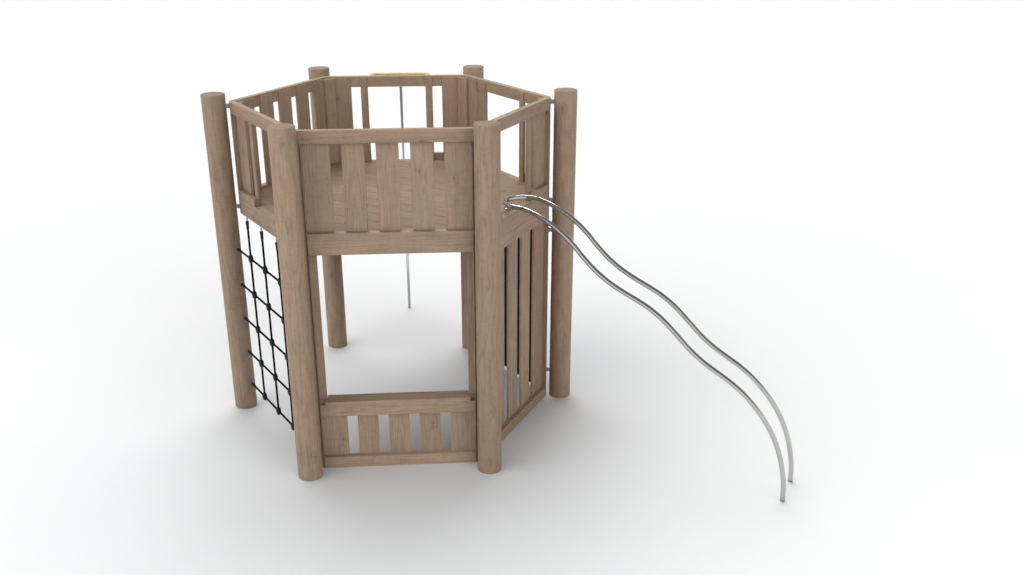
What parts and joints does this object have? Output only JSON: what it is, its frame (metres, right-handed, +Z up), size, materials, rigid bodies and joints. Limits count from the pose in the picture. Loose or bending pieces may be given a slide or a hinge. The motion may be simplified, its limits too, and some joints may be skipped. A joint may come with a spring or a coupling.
{
  "type": "hexagonal timber play tower",
  "caption": "Timber play tower on round posts: hexagonal deck with slatted parapets, rope net, fire pole, slide bars, slatted walls and a window shelf.",
  "frame": {"origin": "on the ground, at the middle of the footprint box of the whole tower with its slide bars and pole", "axes": "+Z up; -Y is the side with the low slatted wall, shelf and window; +X is towards the slide bars"},
  "size_m": [4.102, 3.6144, 2.5],
  "materials": {
    "post_wood": "planed softwood, lightly weathered, matt",
    "board_wood": "planed softwood boards, lightly weathered, matt",
    "deck_wood": "planed softwood planks, matt",
    "grey_steel": "galvanised, satin",
    "stainless": "polished stainless",
    "black_rope": "braided rope with moulded joints, matt",
    "black_panel": "smooth sheet, satin",
    "yellow_paint": "powder coat, satin"
  },
  "bodies": {
    "root": {"post_right": "post_wood", "post_back_right": "post_wood", "post_back_left": "post_wood", "post_left": "post_wood", "post_front_left": "post_wood", "post_front_right": "post_wood", "corner_post_right": "post_wood", "corner_post_back_right": "post_wood", "corner_post_back_left": "post_wood", "corner_post_left": "post_wood", "corner_post_front_left": "post_wood", "corner_post_front_right": "post_wood", "parapet_front": "board_wood", "parapet_left_back": "board_wood", "gate_side_left_front": "board_wood", "gate_side_right_front": "board_wood", "gate_side_right_back": "board_wood", "gate_side_back": "board_wood", "low_parapet_front": "board_wood", "low_wall_right_front": "board_wood", "shelf_front": "board_wood", "deck": "deck_wood", "panel_right_back": "black_panel", "climbing_net": "black_rope", "slide_bars": "stainless", "fire_pole": "grey_steel", "pole_hoop": "yellow_paint", "spacer_right_1": "grey_steel", "spacer_right_2": "grey_steel", "spacer_right_3": "grey_steel", "spacer_right_4": "grey_steel", "spacer_back_right_1": "grey_steel", "spacer_back_right_2": "grey_steel", "spacer_back_right_3": "grey_steel", "spacer_back_right_4": "grey_steel", "spacer_back_left_1": "grey_steel", "spacer_back_left_2": "grey_steel", "spacer_left_1": "grey_steel", "spacer_left_2": "grey_steel", "spacer_front_left_1": "grey_steel", "spacer_front_left_2": "grey_steel", "spacer_front_left_3": "grey_steel", "spacer_front_left_4": "grey_steel", "spacer_front_right_1": "grey_steel", "spacer_front_right_2": "grey_steel", "spacer_front_right_3": "grey_steel", "spacer_front_right_4": "grey_steel"}
  },
  "joints": []
}
